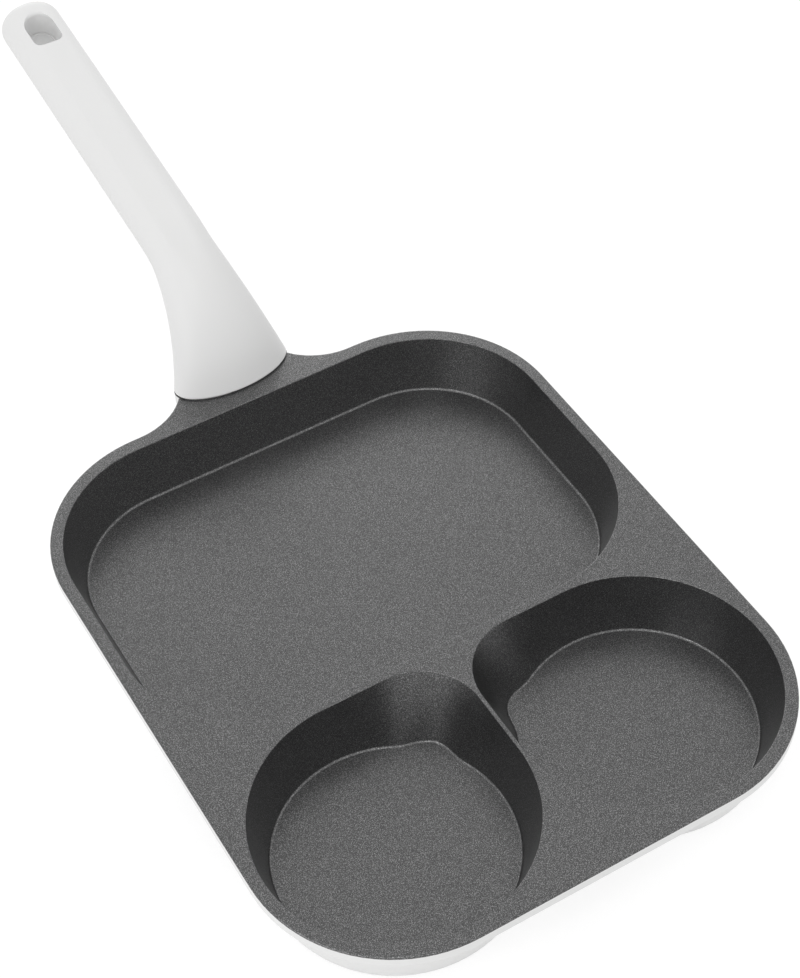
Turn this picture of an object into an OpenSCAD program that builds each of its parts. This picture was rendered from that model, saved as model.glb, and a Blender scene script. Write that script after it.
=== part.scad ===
// Divided frying pan: one large well and two egg wells in one casting, with a moulded handle.
// Front is -Y, the handle points to +Y and rises. The pan stands on z = 0.

/* [Pan body] */
// Width of the body across the rim
body_width = 200.4; // [194:0.2:212]
// Length of the body, front edge to handle edge
body_length = 245.4; // [240:0.2:265]
// Height from the table to the top of the rim
body_height = 26; // [25:0.5:34]
// Radius of the four outer corners
corner_radius = 52.4; // [51:0.1:54]
// Thickness of the cast walls
wall = 3; // [2.4:0.1:3.4]
// Draft of the walls from the vertical, in degrees
wall_draft = 14.5; // [10:0.5:18]
// Thickness of the rim plate between the wells
deck = 3.2; // [2.6:0.1:4]
// Height of the turned-down outer edge
edge_height = 5; // [4.4:0.1:7]
// Thickness of the turned-down outer edge
edge_wall = 2.4; // [2:0.1:3]
// Rounding of the outer edge
edge_round = 0.8; // [0.4:0.1:1]

/* [Wells] */
// Depth of the large well
large_depth = 22; // [16:0.5:22.5]
// Depth of the two small wells
small_depth = 22.8; // [16:0.2:23]
// Rim width beside the wells
rim_side = 4.6; // [4:0.1:6]
// Rim width in front of the small wells
rim_front = 4.9; // [4:0.1:6]
// Rim width behind the large well
rim_back = 5.5; // [4.5:0.1:8]
// Width of the ridge between the two small wells
ridge = 1.3; // [1:0.1:4]
// Width of the band between the large well and the small ones
band = 2.9; // [2:0.1:6]
// Corner radius of the large well
large_corner = 47; // [40:0.5:48]
// Radius of the inner corner of each small well, at the rim
small_corner = 23; // [19:0.5:28]
// Draft of the wall in the middle of that corner, in degrees
small_corner_draft = 28.5; // [26:0.5:30]
// Half angle over which the round floor swells into that corner, in degrees
corner_spread = 18; // [16:1:26]
// Turn of that swell from the corner's middle towards the ridge, in degrees
corner_turn = 2.5; // [0:0.5:4]
// Rounding between walls and floors
floor_round = 1; // [0.6:0.1:3]
// Rounding of the wells' lips, where their walls meet the rim
lip_round = 0.4; // [0.2:0.1:0.8]

/* [Underside] */
// Rounding where the outer walls meet the base
foot_round = 1.5; // [0.5:0.1:2]
// Distance of the first base groove from the edge of the base, and between grooves
groove_pitch = 9; // [6:0.5:12]
// Number of grooves that run round each base
groove_count = 3; // [1:1:3]
// Width of a groove
groove_width = 1.6; // [1:0.1:2.4]
// Depth of a groove
groove_depth = 0.5; // [0.2:0.1:0.8]
// Height of the small wells' corners above the table
corner_lift = 0.5; // [0.2:0.1:1]

/* [Neck] */
// Reach of the neck, from the body's edge to the middle of the handle's mouth
neck_reach = 12.3; // [11:0.1:14]
// Radius of the hollow curves either side of the neck
neck_flare = 27.3; // [25:0.1:30]
// Distance of the centres of those curves from the middle
neck_flare_at = 45; // [44:0.5:48]
// Height of the pad on the neck that lifts the handle clear of the rim
pad_height = 0.5; // [0.3:0.1:1]
// Distance of the pad's edge in from the handle's edge
pad_inset = 0.8; // [0.4:0.1:1.5]
// Width of the gusset under the neck
gusset_width = 26; // [16:1:34]
// Depth of the gusset at the well's wall
gusset_depth = 9; // [5:0.5:12]
// Width of the tongue at its root
tongue_width = 24; // [18:1:26]
// Thickness of the tongue at its root
tongue_thick = 8; // [7:0.5:9]
// Length of the tongue
tongue_length = 28; // [24:1:30]
// Angle of the tongue above the horizontal
tongue_angle = 58; // [56:1:60]
// Narrowing of the tongue's width, root to tip
tongue_taper = 4; // [1:0.5:6]
// Thinning of the tongue, root to tip
tongue_thinning = 1.5; // [0.5:0.1:2]

/* [Handle] */
// Length of the handle along its bent middle line
handle_length = 192; // [170:0.5:220]
// Angle at which the handle leaves the rim
rise_angle = 68; // [64:1:72]
// Straight length before the bend
rise_length = 3.2; // [2:0.2:8]
// Radius of the bend
bend_radius = 58.4; // [52:0.2:62]
// Slope of the grip above the horizontal
grip_slope = 9.55; // [4:0.05:16]
// Width of the grip
grip_width = 25.2; // [24:0.2:32]
// Thickness of the grip
grip_thick = 19.4; // [18:0.2:24]
// Width of the mouth
mouth_width = 47.6; // [46:0.2:50]
// Thickness of the mouth
mouth_thick = 22.2; // [19:0.2:23]
// Length over which the mouth narrows to the grip
flare_length = 52.6; // [45:0.2:60]
// Length of the rounded end
tip_length = 8.4; // [6:0.2:12]
// Half width of the flattened face on top of the grip
face_half = 5.3; // [4:0.1:6]
// How far the flattened face is dished
face_dish = 0.25; // [0:0.05:0.5]

/* [Hang hole] */
// Width of the hang hole
hang_width = 12; // [9:0.5:14]
// Length of the hang hole along the grip
hang_length = 17; // [14:0.5:22]
// Distance from the end of the hang hole to the end of the handle
hang_margin = 11; // [9:0.5:14]
// Radius of the hole's two corners on the pan's side
hang_corner = 3; // [2:0.5:4]
// Rounding of the hole's mouths
hang_round = 1.4; // [0.6:0.1:2]
// Step where the lower half of the hole is narrower
hang_step = 0.6; // [0.3:0.1:1]

/* [Fixing] */
// Clearance between the tongue and its socket
socket_gap = 0.3; // [0.2:0.05:0.4]
// Spare depth at the socket's end
socket_spare = 1; // [0.5:0.1:2]
// Distance of the screw from the tongue's root
screw_at = 14; // [12:0.5:16]
// Diameter of the screw's shank
screw_d = 4; // [3:0.5:5]
// Length of the screw under its head
screw_length = 9.6; // [8:0.2:10.4]
// Diameter of the screw's head
head_d = 7.6; // [7:0.1:8.6]
// Height of the screw's head
head_height = 2.3; // [1.8:0.1:2.6]
// Handle material under the screw's head
seat_wall = 3; // [2.4:0.1:3.4]
// Clearance around the screw's shank in the handle
shank_gap = 0.25; // [0.1:0.05:0.4]
// Clearance around the screw's head in its pocket
head_gap = 0.4; // [0.2:0.05:0.6]

/* [Hidden] */
$fn = 96;

coating_colour = "#5b5b5d";
handle_colour = "#ededec";
steel_colour = "#b9bcc0";

// How far cutters run past the faces that they cut, and the least step between two values
past = 1;
hair = 0.01;

rim_z = body_height;
front_y = -body_length / 2;
back_y = body_length / 2;

// Small wells: circles that share the width, each with a corner towards the middle of the pan
small_radius = (body_width / 2 - rim_side - ridge / 2) / 2;
small_x = ridge / 2 + small_radius;
small_y = front_y + rim_front + small_radius;
small_offset = small_radius - small_corner;
corner_at = 135;
corner_half = 48;
corner_step = 2.4;
round_step = 4.8;
floor_steps = 5;
lip_steps = 3;
well_angles = concat(
    [for (a = [-corner_half : corner_step : corner_half]) a],
    [for (a = [corner_half + round_step : round_step : 360 - corner_half - round_step + hair]) a]
);

// Large well: fills the width between the band and the back rim
large_width = body_width - 2 * rim_side;
large_front = small_y + small_radius + band;
large_back = back_y - rim_back;
large_length = large_back - large_front;
large_y = (large_front + large_back) / 2;

// Middle of the handle's mouth, and the level of the pad that it rests on
mouth_y = back_y + neck_reach;
pad_z = rim_z + pad_height;

// Tongue and screw, in the tongue's own frame
tongue_lean = 90 - tongue_angle;
tongue_root = 2;
socket_thick = tongue_thick + 2 * socket_gap;
seat_y = socket_thick / 2 + seat_wall;
tongue_round = 4;

// Handle loft: lengths are along the middle line, from the mouth
rise_end = [rise_length * cos(rise_angle), rise_length * sin(rise_angle)];
bend_length = bend_radius * (rise_angle - grip_slope) * PI / 180;
bend_centre = rise_end + bend_radius * [sin(rise_angle), -cos(rise_angle)];
bend_end = bend_centre + bend_radius * [-sin(grip_slope), cos(grip_slope)];
grip_from = rise_length + bend_length;
flare_power = 1.38;
mouth_power = 1.94;
grip_power = 2.1;
tip_power = 2.3;
level_length = 25;
mouth_break = 0.4;
face_from = 34;
face_full = 56;
face_fade = 14;
face_sides = 6;
face_share = 0.6;
section_sides = 48;
flare_steps = 20;
grip_steps = 14;
tip_steps = 9;
tip_drop = 0.7;
tip_closing = 89;
hang_middle = handle_length - hang_margin - hang_length / 2;
hang_reach = grip_thick;
round_steps = 5;
// An odd count, so that no corner of the hang hole lies on the handle's middle line
arc_steps = 11;
corner_steps = 4;

// Cross recess of the screw, as shares of its head
cross_width = 0.13;
cross_length = 0.55;
cross_depth = 0.6;

// Draws its 2D child round a rectangle with rounded corners. The child's x runs outwards from the
// corners' centres. A block from z = low to z = high fills the middle.
module round_sweep(width, length, radius, low, high) {
    inner = [width - 2 * radius, length - 2 * radius];
    for (i = [0 : 3])
        translate([(i == 0 || i == 3 ? 1 : -1) * inner[0] / 2, (i < 2 ? 1 : -1) * inner[1] / 2, 0])
            rotate([0, 0, 90 * i]) {
                rotate_extrude(angle = 90) children();
                rotate([90, 0, 0]) linear_extrude(height = i % 2 == 0 ? inner[1] : inner[0]) children();
            }
    translate([-inner[0] / 2, -inner[1] / 2, low]) cube([inner[0], inner[1], high - low]);
}

// Draws its 2D child round the outline of a small well's corner, which points to -X and +Y
module corner_sweep(low, high) {
    translate([-small_offset, small_offset, 0]) rotate([0, 0, 90]) {
        rotate_extrude(angle = 90) children();
        rotate([90, 0, 0]) linear_extrude(height = small_offset) children();
    }
    translate([-small_offset, 0, 0]) rotate([0, 0, 180]) rotate([90, 0, 0])
        linear_extrude(height = small_offset) children();
    translate([-small_offset, 0, low]) cube([small_offset, small_offset, high - low]);
}

// Half section of a cup: a sloping wall down to a flat floor, with a rounding between them
module cup_profile(radius, top, bottom, draft, rounding) {
    base = radius - (top - bottom) * tan(draft);
    run = rounding * tan((90 - draft) / 2);
    polygon([
        [0, bottom],
        [base - run, bottom],
        [base + run * sin(draft), bottom + run * cos(draft)],
        [radius, top],
        [0, top]
    ]);
    translate([base - run, bottom + rounding]) circle(r = rounding);
}

// Radius of a small well's lip at an angle from the middle of its corner
function lip_radius(angle) =
    let (a = abs(angle), turn = atan(small_offset / small_radius), along = small_offset * sqrt(2))
    a >= 45 ? small_radius :
    a >= 45 - turn ? small_radius / cos(45 - a) :
    along * cos(a) + sqrt(pow(small_corner, 2) - pow(along * sin(a), 2));

// Radius of its floor, where the wall's line meets it, at the same angle
function floor_radius(angle) =
    let (round_floor = small_radius - small_depth * tan(wall_draft),
         corner_floor = lip_radius(0) - small_depth * tan(small_corner_draft))
    round_floor + (corner_floor - round_floor) * pow(cos(90 * min(1, abs(angle) / corner_spread)), 2);

// Section of a small well at an angle, as [radius, z]: floor rounding, sloping wall, flared lip
function well_section(angle) =
    let (lip = lip_radius(angle),
         base = floor_radius(angle - corner_turn),
         draft = atan((lip - base) / small_depth),
         run = floor_round * tan((90 - draft) / 2),
         lip_run = lip_round * tan((90 - draft) / 2))
    concat(
        [for (i = [0 : floor_steps])
            let (a = (90 - draft) * i / floor_steps)
            [base - run + floor_round * sin(a), rim_z - small_depth + floor_round * (1 - cos(a))]],
        [for (i = [0 : lip_steps])
            let (a = draft + (90 - draft) * i / lip_steps)
            [lip + lip_run - lip_round * cos(a), rim_z - lip_round * (1 - sin(a))]],
        [[lip + lip_run, rim_z + past]]
    );

// The hollow of a small well, lofted from its round floor up to its cornered lip
module small_well() {
    sections = [for (a = well_angles) well_section(a)];
    rotate([0, 0, corner_at]) loft([for (j = [0 : len(sections[0]) - 1])
        [for (i = [0 : len(well_angles) - 1])
            let (a = well_angles[i], p = sections[i][j]) [p[0] * cos(a), p[0] * sin(a), p[1]]]]);
}

// Half section of a well: a cup whose lip flares into the rim
module well_profile(radius, depth, draft) {
    run = lip_round * tan((90 - draft) / 2);
    cup_profile(radius, rim_z, rim_z - depth, draft, floor_round);
    difference() {
        polygon([
            [0, rim_z - run * cos(draft)],
            [radius - run * sin(draft), rim_z - run * cos(draft)],
            [radius + run, rim_z],
            [radius + run, rim_z + past],
            [0, rim_z + past]
        ]);
        translate([radius + run, rim_z - lip_round]) circle(r = lip_round);
    }
}

// Half section of the metal outside a well, one wall thickness bigger and closed below
module shell_profile(radius, draft, low) {
    top = rim_z - deck / 2;
    cup_profile(radius + wall / cos(draft) - (rim_z - top) * tan(draft), top, low, draft, foot_round);
}

// Half section of the rim plate with its rounded, turned-down edge
module edge_profile() {
    low = rim_z - edge_height;
    inner = corner_radius - edge_round;
    polygon([
        [0, low],
        [inner, low],
        [corner_radius, low + edge_round],
        [corner_radius, rim_z - edge_round],
        [inner, rim_z],
        [0, rim_z]
    ]);
    translate([inner, low + edge_round]) circle(r = edge_round);
    translate([inner, rim_z - edge_round]) circle(r = edge_round);
}

module round_rect(width, length, radius) {
    for (x = [-1, 1])
        for (y = [-1, 1])
            translate([x * (width / 2 - radius), y * (length / 2 - radius)]) circle(r = radius);
    square([width - 2 * radius, length], center = true);
    square([width, length - 2 * radius], center = true);
}

// Both small wells are alike: the right one is drawn and mirrored
module small_pair() {
    for (side = [0, 1])
        mirror([side, 0, 0]) translate([small_x, small_y, 0]) children();
}

module large_place() {
    translate([0, large_y, 0]) children();
}

module wells() {
    large_place()
        round_sweep(large_width, large_length, large_corner, rim_z - large_depth, rim_z + past)
            well_profile(large_corner, large_depth, wall_draft);
    small_pair() small_well();
}

module shells() {
    top = rim_z - deck / 2;
    large_place()
        round_sweep(large_width, large_length, large_corner, 0, top)
            shell_profile(large_corner, wall_draft, 0);
    small_pair() {
        rotate_extrude() shell_profile(small_radius, wall_draft, 0);
        corner_sweep(corner_lift, top) shell_profile(small_corner, small_corner_draft, corner_lift);
    }
}

// Shallow grooves that run round the base of each well
module base_grooves() {
    base_inset = body_height * tan(wall_draft) - wall / cos(wall_draft);
    for (i = [1 : groove_count]) {
        inset = base_inset + i * groove_pitch;
        large_place() translate([0, 0, -past]) linear_extrude(height = groove_depth + past)
            difference() {
                round_rect(large_width - 2 * inset, large_length - 2 * inset, large_corner - inset);
                round_rect(large_width - 2 * (inset + groove_width),
                    large_length - 2 * (inset + groove_width), large_corner - inset - groove_width);
            }
        small_pair() translate([0, 0, -past]) linear_extrude(height = groove_depth + past)
            difference() {
                circle(r = small_radius - inset);
                circle(r = small_radius - inset - groove_width);
            }
    }
}

// The rim plate, thinner inside its turned-down edge
module rim_plate() {
    low = rim_z - edge_height;
    difference() {
        round_sweep(body_width, body_length, corner_radius, low, rim_z) edge_profile();
        translate([0, 0, low - past]) linear_extrude(height = edge_height - deck + past)
            round_rect(body_width - 2 * edge_wall, body_length - 2 * edge_wall, corner_radius - edge_wall);
    }
}

// A point on an oval whose sides get fuller as the power grows
function oval(angle, half_w, half_t, power) = [
    half_w * sign(cos(angle)) * pow(abs(cos(angle)), 2 / power),
    half_t * sign(sin(angle)) * pow(abs(sin(angle)), 2 / power)
];

// Outline of the handle's mouth, drawn in by an inset
module mouth_oval(inset) {
    polygon([for (i = [0 : section_sides - 1])
        oval(360 * i / section_sides, mouth_width / 2 - inset, mouth_thick / 2 - inset, mouth_power)]);
}

// The neck: hollow curves from the rim in to the handle's mouth, and the pad that the handle sits on
module neck() {
    low = rim_z - edge_height;
    root_y = back_y - edge_wall - past;
    difference() {
        translate([-neck_flare_at, root_y, low]) cube([2 * neck_flare_at, mouth_y - root_y, edge_height]);
        for (side = [-1, 1])
            translate([side * neck_flare_at, back_y + neck_flare, 0]) rotate_extrude() flare_profile();
    }
    translate([0, mouth_y, low]) linear_extrude(height = edge_height) mouth_oval(0);
    translate([0, mouth_y, low]) linear_extrude(height = edge_height + pad_height) mouth_oval(pad_inset);
}

// Half section of the cutter for one hollow curve, which leaves the neck's edges rounded
module flare_profile() {
    low = rim_z - edge_height;
    outer = neck_flare + edge_round;
    difference() {
        translate([0, low - past]) square([outer, edge_height + 2 * past]);
        translate([neck_flare, low + edge_round]) square([outer, edge_height - 2 * edge_round]);
        translate([outer, low + edge_round]) circle(r = edge_round);
        translate([outer, rim_z - edge_round]) circle(r = edge_round);
    }
}

// Cast gusset that backs the neck against the large well's wall
module gusset() {
    low = rim_z - edge_height;
    root_y = large_back - wall;
    nose_y = mouth_y + mouth_thick / 4;
    rotate([90, 0, 90]) translate([0, 0, -gusset_width / 2]) linear_extrude(height = gusset_width)
        polygon([
            [root_y, low - gusset_depth],
            [back_y - edge_wall, low - gusset_depth],
            [nose_y, low],
            [nose_y, rim_z - edge_round],
            [root_y, rim_z - edge_round]
        ]);
}

// Moves its child into the tongue's frame: z along the tongue, +y towards the handle's underside
module tongue_frame() {
    translate([0, mouth_y, rim_z]) rotate([-tongue_lean, 0, 0]) children();
}

// The tongue's form, grown all round for its socket
module tongue_shape(gap, spare) {
    half = tongue_width / 2 + gap;
    tip = half - tongue_taper / 2;
    high = tongue_length + spare;
    thick = tongue_thick / 2 + gap;
    thin = thick - tongue_thinning / 2;
    intersection() {
        rotate([90, 0, 0]) translate([0, 0, -tongue_width]) linear_extrude(height = 2 * tongue_width) {
            polygon([
                [-half, -tongue_root],
                [half, -tongue_root],
                [tip, high - tongue_round],
                [tip - tongue_round, high],
                [tongue_round - tip, high],
                [-tip, high - tongue_round]
            ]);
            for (side = [-1, 1])
                translate([side * (tip - tongue_round), high - tongue_round]) circle(r = tongue_round);
        }
        rotate([90, 0, 90]) translate([0, 0, -tongue_width]) linear_extrude(height = 2 * tongue_width)
            polygon([[-thick, -tongue_root], [thick, -tongue_root], [thin, high], [-thin, high]]);
    }
}

// Moves its child to the screw: z is the screw's axis, out of the handle, from the seat of its head
module screw_frame() {
    tongue_frame() translate([0, seat_y, screw_at]) rotate([-90, 0, 0]) children();
}

module pan_body() {
    color(coating_colour) difference() {
        union() {
            rim_plate();
            shells();
            neck();
            gusset();
            tongue_frame() tongue_shape(0, 0);
        }
        wells();
        base_grooves();
        screw_frame() translate([0, 0, -screw_length]) cylinder(d = screw_d, h = screw_length);
    }
}

// Middle line of the handle at a length s from the mouth: [y, z, slope]
function middle(s) =
    s < rise_length ? [s * cos(rise_angle), s * sin(rise_angle), rise_angle] :
    s < grip_from ? bend_point(rise_angle - (s - rise_length) / bend_radius * 180 / PI) :
    [
        bend_end[0] + (s - grip_from) * cos(grip_slope),
        bend_end[1] + (s - grip_from) * sin(grip_slope),
        grip_slope
    ];
function bend_point(slope) = [
    bend_centre[0] - bend_radius * sin(slope),
    bend_centre[1] + bend_radius * cos(slope),
    slope
];

// How much of a change over the length from 0 to `over` is left at s
function fading(s, over, power) = pow(max(0, 1 - s / over), power);
function smooth(t) = let (u = min(1, max(0, t))) u * u * (3 - 2 * u);

// Rounding factor of the handle's end, from 1 down to 0
function end_factor(s, length, power) =
    let (t = max(0, (s - handle_length) / length + 1)) pow(max(0, 1 - pow(t, power)), 1 / power);

function half_width(s) =
    (grip_width + (mouth_width - grip_width) * fading(s, flare_length, flare_power)) / 2
    * end_factor(s, tip_length, tip_power);
function half_thick(s) =
    (grip_thick + (mouth_thick - grip_thick) * fading(s, flare_length, 2)) / 2
    * end_factor(s, tip_length * tip_drop, 2);
function section_power(s) = grip_power + (mouth_power - grip_power) * fading(s, flare_length, 1);

// How flat the top face is at s: none at the neck, full on the grip, none at the hang hole
function flatness(s) =
    smooth((s - face_from) / (face_full - face_from))
    * smooth((hang_middle - hang_length / 2 - s) / face_fade);

// Angle from the top of the oval to the edge of the flattened face
function face_angle(s) =
    let (share = min(face_share, face_half / max(half_width(s), face_half)))
    90 - acos(pow(share, section_power(s) / 2));

// Angle of the corner i of a section: the first few span the flattened face
function corner_angle(i, s) =
    let (half = face_angle(s))
    i <= face_sides ? 90 + half * (1 - 2 * i / face_sides) :
    90 - half - (360 - 2 * half) * (i - face_sides) / (section_sides - face_sides);

// A corner of a section in its own plane, with the top pressed flat between the face's edges
function section_point(i, s) =
    let (half = face_angle(s),
         p = oval(corner_angle(i, s), half_width(s), half_thick(s), section_power(s)),
         edge = oval(90 - half, half_width(s), half_thick(s), section_power(s)),
         dish = face_dish * (1 - pow(p[0] / max(edge[0], hair), 2)))
    i > face_sides ? p : [p[0], p[1] + flatness(s) * (edge[1] - dish - p[1])];

// One ring of the handle. Its plane is level at the mouth and square to the middle line later on.
function ring(s, shrink) =
    let (m = middle(s), tilt = m[2] + (90 - rise_angle) * fading(s, level_length, 2))
    [for (i = [0 : section_sides - 1])
        let (p = section_point(i, s), k = 1 - shrink / half_thick(s))
        [p[0] * k, m[0] - p[1] * k * sin(tilt), m[1] + p[1] * k * cos(tilt)]];

// Closed solid through a list of rings, with flat ends
module loft(rings) {
    n = len(rings[0]);
    last = len(rings) - 1;
    polyhedron(
        points = [for (r = rings) for (p = r) p],
        faces = concat(
            [[for (i = [0 : n - 1]) i]],
            [for (j = [0 : last - 1]) for (i = [0 : n - 1])
                [j * n + i, (j + 1) * n + i, (j + 1) * n + (i + 1) % n, j * n + (i + 1) % n]],
            [[for (i = [n - 1 : -1 : 0]) last * n + i]]
        )
    );
}

function stations() = concat(
    [for (i = [0 : flare_steps]) grip_from * i / flare_steps + mouth_break],
    [for (i = [1 : grip_steps]) grip_from + (handle_length - tip_length - grip_from) * i / grip_steps],
    [for (i = [1 : tip_steps]) handle_length - tip_length * (1 - sin(tip_closing * i / tip_steps))]
);

// Outline of the hang hole: a half round towards the handle's end, rounded corners towards the pan
function arch(inset) =
    let (r = hang_width / 2 - inset,
         c = hang_corner - min(inset, hang_corner / 2),
         top = hang_length / 2 - hang_width / 2,
         low = inset - hang_length / 2 + c)
    concat(
        arc([0, top], r, 0, 180, arc_steps),
        arc([c - r, low], c, 180, 270, corner_steps),
        arc([r - c, low], c, 270, 360, corner_steps)
    );
function arc(centre, radius, from, to, steps) = [
    for (i = [0 : steps])
        let (a = from + (to - from) * i / steps) centre + radius * [cos(a), sin(a)]
];

function arch_ring(z, inset) = [for (p = arch(inset)) [p[0], p[1], z]];

// Cutter for the hang hole: mouths that flare out, and a step halfway down
module hang_hole() {
    m = middle(hang_middle);
    half = grip_thick / 2;
    translate([0, m[0], m[1]]) rotate([m[2], 0, 0]) loft(concat(
        [arch_ring(-hang_reach, hang_step - 2 * hang_round)],
        [for (i = [0 : round_steps])
            let (a = 90 * i / round_steps)
            arch_ring(hang_round * (1 - cos(a)) - half, hang_step - hang_round * (1 - sin(a)))],
        [arch_ring(-hang_round, hang_step)],
        [arch_ring(-hang_round + hair, 0)],
        [for (i = [0 : round_steps])
            let (a = 90 * i / round_steps)
            arch_ring(half - hang_round * (1 - sin(a)), -hang_round * (1 - cos(a)))],
        [arch_ring(hang_reach, -2 * hang_round)]
    ));
}

module handle() {
    color(handle_colour) difference() {
        translate([0, mouth_y, pad_z])
            loft(concat([ring(0, mouth_break)], [for (s = stations()) ring(s, 0)]));
        translate([0, mouth_y, pad_z]) hang_hole();
        tongue_frame() tongue_shape(socket_gap, socket_spare);
        screw_frame() cylinder(d = head_d + 2 * head_gap, h = mouth_thick);
        screw_frame() translate([0, 0, -mouth_thick / 2])
            cylinder(d = screw_d + 2 * shank_gap, h = mouth_thick);
    }
}

// Pan-head screw with a cross recess and a short point
module handle_screw() {
    slot_width = head_d * cross_width;
    slot_length = head_d * cross_length;
    slot_depth = head_height * cross_depth;
    point = screw_d / 4;
    dome = head_d;
    color(steel_colour) screw_frame() {
        difference() {
            intersection() {
                cylinder(d = head_d, h = head_height);
                translate([0, 0, head_height - dome]) sphere(r = dome);
            }
            for (turn = [0, 90])
                rotate([0, 0, turn]) translate([-slot_length / 2, -slot_width / 2, head_height - slot_depth])
                    cube([slot_length, slot_width, slot_depth + past]);
        }
        translate([0, 0, point - screw_length]) cylinder(d = screw_d, h = screw_length - point);
        translate([0, 0, -screw_length]) cylinder(d1 = screw_d / 2, d2 = screw_d, h = point);
    }
}

pan_body();
handle();
handle_screw();
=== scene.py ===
import math

import bpy
import numpy as np
from mathutils import Matrix, Vector

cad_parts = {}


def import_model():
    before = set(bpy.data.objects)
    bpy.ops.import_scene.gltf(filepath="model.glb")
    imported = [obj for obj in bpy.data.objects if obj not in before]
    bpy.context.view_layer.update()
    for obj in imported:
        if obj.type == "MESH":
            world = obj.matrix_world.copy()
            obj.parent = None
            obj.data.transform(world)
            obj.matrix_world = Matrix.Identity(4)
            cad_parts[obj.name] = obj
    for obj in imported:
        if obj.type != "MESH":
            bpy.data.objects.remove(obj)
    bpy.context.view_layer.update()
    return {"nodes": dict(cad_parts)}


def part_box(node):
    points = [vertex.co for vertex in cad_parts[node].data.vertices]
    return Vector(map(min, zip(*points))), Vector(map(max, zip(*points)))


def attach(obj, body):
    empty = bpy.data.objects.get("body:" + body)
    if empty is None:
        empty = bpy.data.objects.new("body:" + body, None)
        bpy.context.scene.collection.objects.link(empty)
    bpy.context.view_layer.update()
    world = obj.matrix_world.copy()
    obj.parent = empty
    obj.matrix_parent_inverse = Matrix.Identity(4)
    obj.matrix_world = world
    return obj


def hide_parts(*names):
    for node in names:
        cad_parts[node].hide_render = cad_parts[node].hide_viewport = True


# Materials, light and camera for the divided frying pan. Metres, in the row's frame: the handle
# points to +Y, the pan stands on z = 0.

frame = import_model()
nodes = frame["nodes"]

MM = 0.001

# Colours are linear, as shader sockets take them
WHITE = (1.0, 1.0, 1.0, 1.0)
COATING = (0.010, 0.010, 0.0104, 1.0)
COATING_SHADE = (0.008, 0.008, 0.0084, 1.0)
FLAKE = (0.36, 0.36, 0.362, 1.0)
FLAKE_DULL = (0.12, 0.12, 0.1205, 1.0)
LACQUER = (0.76, 0.76, 0.757, 1.0)
HANDLE_WHITE = (0.75, 0.75, 0.747, 1.0)
STEEL = (0.58, 0.58, 0.585, 1.0)

# Scales of the noises, per metre
COATING_CLOUD = 90.0
FLAKE_GRAIN = 3600.0
LACQUER_CLOUD = 70.0
LACQUER_GRAIN = 500.0
HANDLE_CLOUD = 60.0
HANDLE_SHEEN = 900.0
HANDLE_GRAIN = 700.0
STEEL_CLOUD = 400.0
CLOUD_DETAIL = 3.0
FLAKE_DETAIL = 1.0
# Turn of the flakes' noise about x, y and z, in radians
GRAIN_TURN = (0.6, 0.45, 0.3)
# A noise stays mostly between these values
NOISE_LOW = 0.3
NOISE_HIGH = 0.7
# Noise values where the coating's ground changes from its shade to its colour
GROUND_LOW = 0.35
GROUND_HIGH = 0.65
# Noise values where a flake starts, where it is all metal, and where it is brightest
FLAKE_START = 0.49
FLAKE_METAL = 0.51
FLAKE_BRIGHT = 0.76

# Least and most roughness
COATING_ROUGH = (0.31, 0.35)
LACQUER_ROUGH = (0.30, 0.36)
HANDLE_ROUGH = (0.40, 0.46)
STEEL_ROUGH = (0.25, 0.4)
COATING_IOR = 1.48
COATING_SPECULAR = 1.0
WHITE_SPECULAR = 0.5
# How far the clouds dim the white finishes and the steel
WHITE_DIMMED = 0.985
STEEL_DIMMED = 0.8
GRAIN_STRENGTH = 0.03
GRAIN_DEPTH = 0.1 * MM

# Facets meeting at less than this angle, in degrees, are one smooth surface
CREASE = 38.0
# Corners that round to the same step of this length are one spot
SPOT = 0.001 * MM
# Faces whose normal's z is more than this lie in the flat deck and floors
FLAT = 0.9999
# The coating stops above the bases, and low on the rounding of the outer edge
COATED_ABOVE = 3.0 * MM
COATED_SLOPE = 0.05
EDGE_SLOPE = 0.27
# Rim of the casting, as the part's source has it
BODY_BACK = 122.7 * MM
OUTER_CORNER = 52.4 * MM
OUTER_ROUND = 0.85 * MM
SMALL_WELL_REACH = 101.0 * MM

# Studio: the floor bounces as a white one, and only a little of its shading shows
FLOOR_SIZE = 6.0
FLOOR_AT = (0.0, 0.1, -0.0002)
FLOOR_BOUNCE = (0.86, 0.86, 0.86, 1.0)
FLOOR_SEEN = (0.26, 0.26, 0.26, 1.0)
FLOOR_LIFT = 0.79
FLOOR_ROUGH = 0.9
SKY_FILL = 0.87
# Name, place, width and watts of each lamp. All point at LIT_POINT.
SOFTBOXES = (
    ("side_softbox", (-1.25, -0.45, 0.75), 1.0, 4.2),
    ("back_softbox", (0.45, 1.35, 0.55), 1.0, 3.4),
    ("top_softbox", (-0.25, -0.35, 1.30), 0.35, 1.3),
)
LIT_POINT = Vector((0.0, 0.05, 0.0))

# Camera, fitted to the photo's outlines
CAMERA_AT = (-0.22233, -0.40089, 0.59840)
CAMERA_RIGHT = Vector((0.860707, -0.508320, -0.028180))
CAMERA_UP = Vector((0.395143, 0.632119, 0.666549))
LENS = 77.75
SENSOR_WIDTH = 36.0
CLIP_START = 0.01

# Sockets that the Mix node has for colours
MIX_A = 6
MIX_B = 7
MIX_RESULT = 2


def material(name):
    """A material with its node tree, its Principled shader and its object coordinates."""
    m = bpy.data.materials.new(name)
    m.use_nodes = True
    tree = m.node_tree
    shader = tree.nodes["Principled BSDF"]
    coords = tree.nodes.new("ShaderNodeTexCoord")
    return m, tree, shader, coords.outputs["Object"]


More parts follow.
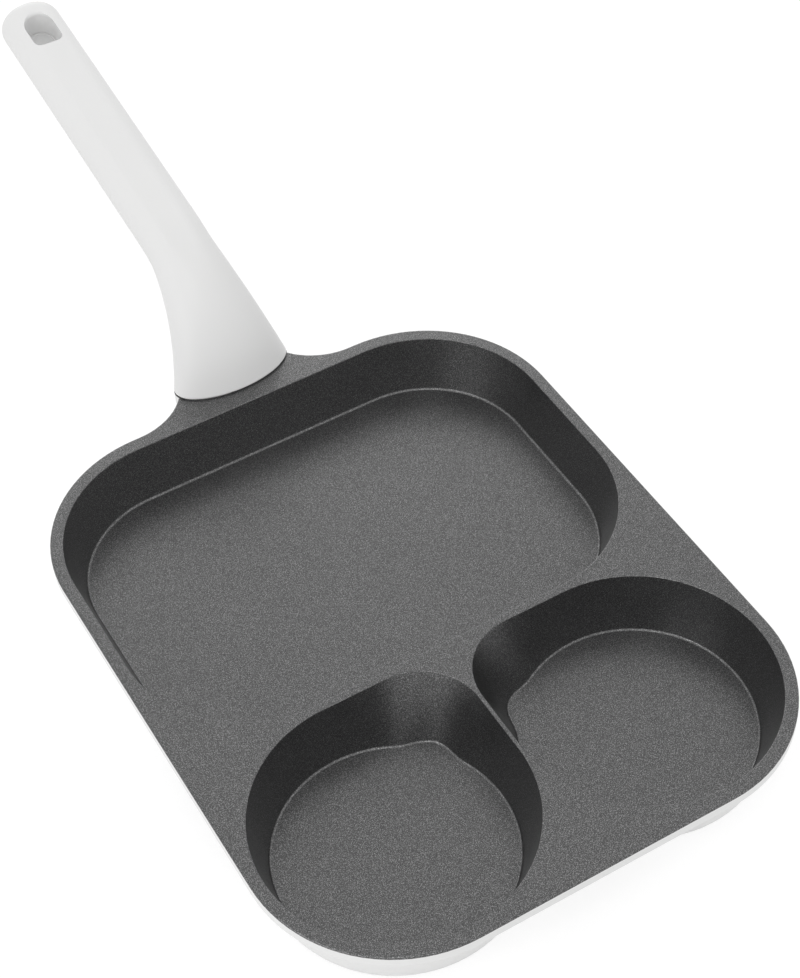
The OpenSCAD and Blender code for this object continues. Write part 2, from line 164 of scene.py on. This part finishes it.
def noise(tree, vector, scale, detail=2.0):
    n = tree.nodes.new("ShaderNodeTexNoise")
    n.inputs["Scale"].default_value = scale
    n.inputs["Detail"].default_value = detail
    tree.links.new(vector, n.inputs["Vector"])
    return n.outputs["Fac"]


def turned(tree, vector):
    """Turns a noise's grid out of line with the flat faces, on which it would else be weak."""
    n = tree.nodes.new("ShaderNodeMapping")
    n.inputs["Rotation"].default_value = GRAIN_TURN
    tree.links.new(vector, n.inputs["Vector"])
    return n.outputs["Vector"]


def ramp(tree, value, low, high, to_low=0.0, to_high=1.0):
    """Maps value from low..high to to_low..to_high, clamped."""
    n = tree.nodes.new("ShaderNodeMapRange")
    n.inputs["From Min"].default_value = low
    n.inputs["From Max"].default_value = high
    n.inputs["To Min"].default_value = to_low
    n.inputs["To Max"].default_value = to_high
    tree.links.new(value, n.inputs["Value"])
    return n.outputs["Result"]


def mix(tree, factor, a, b):
    """Colour a where factor is 0 and b where it is 1. a and b are colours or sockets."""
    n = tree.nodes.new("ShaderNodeMix")
    n.data_type = "RGBA"
    tree.links.new(factor, n.inputs["Factor"])
    for socket, value in ((n.inputs[MIX_A], a), (n.inputs[MIX_B], b)):
        if isinstance(value, tuple):
            socket.default_value = value
        else:
            tree.links.new(value, socket)
    return n.outputs[MIX_RESULT]


def math_node(tree, operation, a, b):
    """a is a socket, b a socket or a number."""
    n = tree.nodes.new("ShaderNodeMath")
    n.operation = operation
    tree.links.new(a, n.inputs[0])
    if isinstance(b, float):
        n.inputs[1].default_value = b
    else:
        tree.links.new(b, n.inputs[1])
    return n.outputs[0]


def clouded(tree, shader, cloud, colour, dimmed):
    """Sets a colour that the cloud dims in places."""
    shade = tuple(dimmed * c for c in colour[:3]) + (1.0,)
    tree.links.new(mix(tree, cloud, shade, colour), shader.inputs["Base Color"])


def roughen(tree, shader, value, rough):
    """Varies the roughness with a noise."""
    varied = ramp(tree, value, NOISE_LOW, NOISE_HIGH, *rough)
    tree.links.new(varied, shader.inputs["Roughness"])


def grain(tree, shader, at, scale):
    """Fine bumps of a sprayed or moulded surface."""
    n = tree.nodes.new("ShaderNodeBump")
    n.inputs["Strength"].default_value = GRAIN_STRENGTH
    n.inputs["Distance"].default_value = GRAIN_DEPTH
    tree.links.new(noise(tree, at, scale), n.inputs["Height"])
    tree.links.new(n.outputs["Normal"], shader.inputs["Normal"])


def coating():
    """Matt dark non-stick coating with fine metal flakes in it."""
    m, tree, shader, at = material("coating")
    cloud = noise(tree, at, COATING_CLOUD, CLOUD_DETAIL)
    ground = mix(tree, ramp(tree, cloud, GROUND_LOW, GROUND_HIGH), COATING_SHADE, COATING)
    specks = noise(tree, turned(tree, at), FLAKE_GRAIN, FLAKE_DETAIL)
    metal = ramp(tree, specks, FLAKE_START, FLAKE_METAL)
    flakes = mix(tree, ramp(tree, specks, FLAKE_METAL, FLAKE_BRIGHT), FLAKE_DULL, FLAKE)
    tree.links.new(mix(tree, metal, ground, flakes), shader.inputs["Base Color"])
    tree.links.new(metal, shader.inputs["Metallic"])
    roughen(tree, shader, cloud, COATING_ROUGH)
    shader.inputs["Specular IOR Level"].default_value = COATING_SPECULAR
    shader.inputs["IOR"].default_value = COATING_IOR
    return m


def lacquer():
    """White lacquer on the outside of the casting."""
    m, tree, shader, at = material("lacquer")
    cloud = noise(tree, at, LACQUER_CLOUD, CLOUD_DETAIL)
    clouded(tree, shader, cloud, LACQUER, WHITE_DIMMED)
    roughen(tree, shader, cloud, LACQUER_ROUGH)
    shader.inputs["Specular IOR Level"].default_value = WHITE_SPECULAR
    grain(tree, shader, at, LACQUER_GRAIN)
    return m


def satin_white():
    """Moulded handle with a satin face."""
    m, tree, shader, at = material("handle_satin")
    cloud = noise(tree, at, HANDLE_CLOUD, CLOUD_DETAIL)
    clouded(tree, shader, cloud, HANDLE_WHITE, WHITE_DIMMED)
    roughen(tree, shader, noise(tree, at, HANDLE_SHEEN), HANDLE_ROUGH)
    shader.inputs["Specular IOR Level"].default_value = WHITE_SPECULAR
    grain(tree, shader, at, HANDLE_GRAIN)
    return m


def steel():
    """Turned steel of the screw."""
    m, tree, shader, at = material("screw_steel")
    shader.inputs["Metallic"].default_value = 1.0
    cloud = noise(tree, at, STEEL_CLOUD, CLOUD_DETAIL)
    clouded(tree, shader, cloud, STEEL, STEEL_DIMMED)
    roughen(tree, shader, cloud, STEEL_ROUGH)
    return m


def read(collection, name, width):
    """One attribute of a mesh's vertices, corners or faces as an array."""
    values = np.zeros(len(collection) * width)
    collection.foreach_get(name, values)
    return values.reshape(-1, width) if width > 1 else values


def smooth_facets(mesh, faceted):
    """Gives the faceted faces one smooth normal at each corner that they share. Exact faces keep
    theirs, and a corner on the flat deck or floor stays square to it."""
    places = np.round(read(mesh.vertices, "co", 3) / SPOT).astype(int)
    spot = np.unique(places, axis=0, return_inverse=True)[1].ravel()
    normals = read(mesh.polygons, "normal", 3)
    areas = read(mesh.polygons, "area", 1)
    corners = read(mesh.corner_normals, "vector", 3)
    around = {}
    for face in mesh.polygons:
        for loop in face.loop_indices:
            here = spot[mesh.loops[loop].vertex_index]
            around.setdefault(here, []).append((loop, face.index))
    least = math.cos(math.radians(CREASE))
    for meeting in around.values():
        faces = np.array([face for _, face in meeting])
        for loop, face in meeting:
            if not faceted[face]:
                continue
            near = faces[normals[faces] @ normals[face] > least]
            flat = near[np.abs(normals[near, 2]) > FLAT]
            chosen = flat if len(flat) and not faceted[flat].all() else near
            total = (normals[chosen] * areas[chosen, None]).sum(axis=0)
            length = np.linalg.norm(total)
            if length > 0.0:
                corners[loop] = total / length
    mesh.shade_smooth()
    mesh.normals_split_custom_set(corners.tolist())


def dressed(node, finishes):
    """A copy of a CAD node that stands for it, with its own normals and finishes."""
    piece = bpy.data.objects.new(node + "_finished", nodes[node].data.copy())
    bpy.context.scene.collection.objects.link(piece)
    piece.data.materials.clear()
    for finish in finishes:
        piece.data.materials.append(finish)
    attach(piece, "root")
    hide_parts(node)
    return piece


def pan():
    """The casting in two finishes: coated where it faces up, white outside and underneath."""
    piece = dressed("pan_body", [lacquer(), coating()])
    mesh = piece.data
    centres = read(mesh.polygons, "center", 3)
    lean = read(mesh.polygons, "normal", 3)[:, 2]
    low, high = np.array(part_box("pan_body"))
    front = low[1]
    x, y, z = np.abs(centres[:, 0]), centres[:, 1], centres[:, 2]

    # Distance in from the rounded outline of the rim
    middle = (front + BODY_BACK) / 2
    half = (BODY_BACK - front) / 2
    from_x = np.maximum(x - (high[0] - OUTER_CORNER), 0.0)
    from_y = np.maximum(np.abs(y - middle) - (half - OUTER_CORNER), 0.0)
    inset = OUTER_CORNER - np.hypot(from_x, from_y)

    # The neck is outside that outline, and its edge is rounded in the same way
    in_neck = y > BODY_BACK - OUTER_ROUND
    edge = (inset < OUTER_ROUND) | in_neck
    needed = np.where(edge, EDGE_SLOPE, COATED_SLOPE)
    coated = (lean > needed) & (z > COATED_ABOVE)
    mesh.polygons.foreach_set("material_index", coated.astype(np.int32))

    # The small wells are lofts, so their walls come as facets
    in_small_wells = (y < front + SMALL_WELL_REACH) & (z > COATED_ABOVE) & (inset > OUTER_ROUND)
    smooth_facets(mesh, in_small_wells & (lean > 0.0) & (lean < FLAT))


def grip():
    """The handle, all of which is faceted."""
    piece = dressed("handle", [satin_white()])
    faces = len(piece.data.polygons)
    smooth_facets(piece.data, np.ones(faces, dtype=bool))


def screw():
    """The CAD screw, in steel."""
    mesh = nodes["handle_screw"].data
    mesh.materials.clear()
    mesh.materials.append(steel())


def light_path(tree):
    """1 for the rays that look at the background: camera, glossy and transmission rays."""
    path = tree.nodes.new("ShaderNodeLightPath").outputs
    seen = math_node(tree, "MAXIMUM", path["Is Camera Ray"], path["Is Glossy Ray"])
    return math_node(tree, "MAXIMUM", seen, path["Is Transmission Ray"])


def floor():
    """Pale floor. Where it is looked at it glows, so that only a faint shadow is left."""
    bpy.ops.mesh.primitive_plane_add(size=FLOOR_SIZE, location=FLOOR_AT)
    plane = bpy.context.object
    plane.name = "floor"
    m, tree, shader, _ = material("floor_pale")
    seen = light_path(tree)
    tree.links.new(mix(tree, seen, FLOOR_BOUNCE, FLOOR_SEEN), shader.inputs["Base Color"])
    shader.inputs["Roughness"].default_value = FLOOR_ROUGH
    shader.inputs["Specular IOR Level"].default_value = 0.0
    shader.inputs["Emission Color"].default_value = WHITE
    glow = math_node(tree, "MULTIPLY", seen, FLOOR_LIFT)
    tree.links.new(glow, shader.inputs["Emission Strength"])
    plane.data.materials.append(m)


def world():
    """White sky for the rays that look at it, a little less for the light on the object."""
    w = bpy.data.worlds.new("studio")
    w.use_nodes = True
    bpy.context.scene.world = w
    tree = w.node_tree
    background = tree.nodes["Background"]
    background.inputs["Color"].default_value = WHITE
    strength = math_node(tree, "MAXIMUM", light_path(tree), SKY_FILL)
    tree.links.new(strength, background.inputs["Strength"])


def softbox(name, at, size, watts):
    """A square lamp that points at LIT_POINT."""
    data = bpy.data.lights.new(name, "AREA")
    data.shape = "SQUARE"
    data.size = size
    data.energy = watts
    lamp = bpy.data.objects.new(name, data)
    bpy.context.scene.collection.objects.link(lamp)
    lamp.location = at
    lamp.rotation_euler = (LIT_POINT - Vector(at)).to_track_quat("-Z", "Y").to_euler()


def camera():
    """The photo's camera."""
    data = bpy.data.cameras.new("camera")
    data.lens = LENS
    data.sensor_width = SENSOR_WIDTH
    data.sensor_fit = "AUTO"
    data.clip_start = CLIP_START
    cam = bpy.data.objects.new("camera", data)
    bpy.context.scene.collection.objects.link(cam)
    back = CAMERA_RIGHT.cross(CAMERA_UP)
    turn = Matrix((CAMERA_RIGHT, CAMERA_UP, back)).transposed()
    cam.matrix_world = Matrix.Translation(CAMERA_AT) @ turn.to_4x4()
    bpy.context.scene.camera = cam


pan()
grip()
screw()
floor()
world()
for box in SOFTBOXES:
    softbox(*box)
camera()
bpy.context.scene.view_settings.view_transform = "Standard"
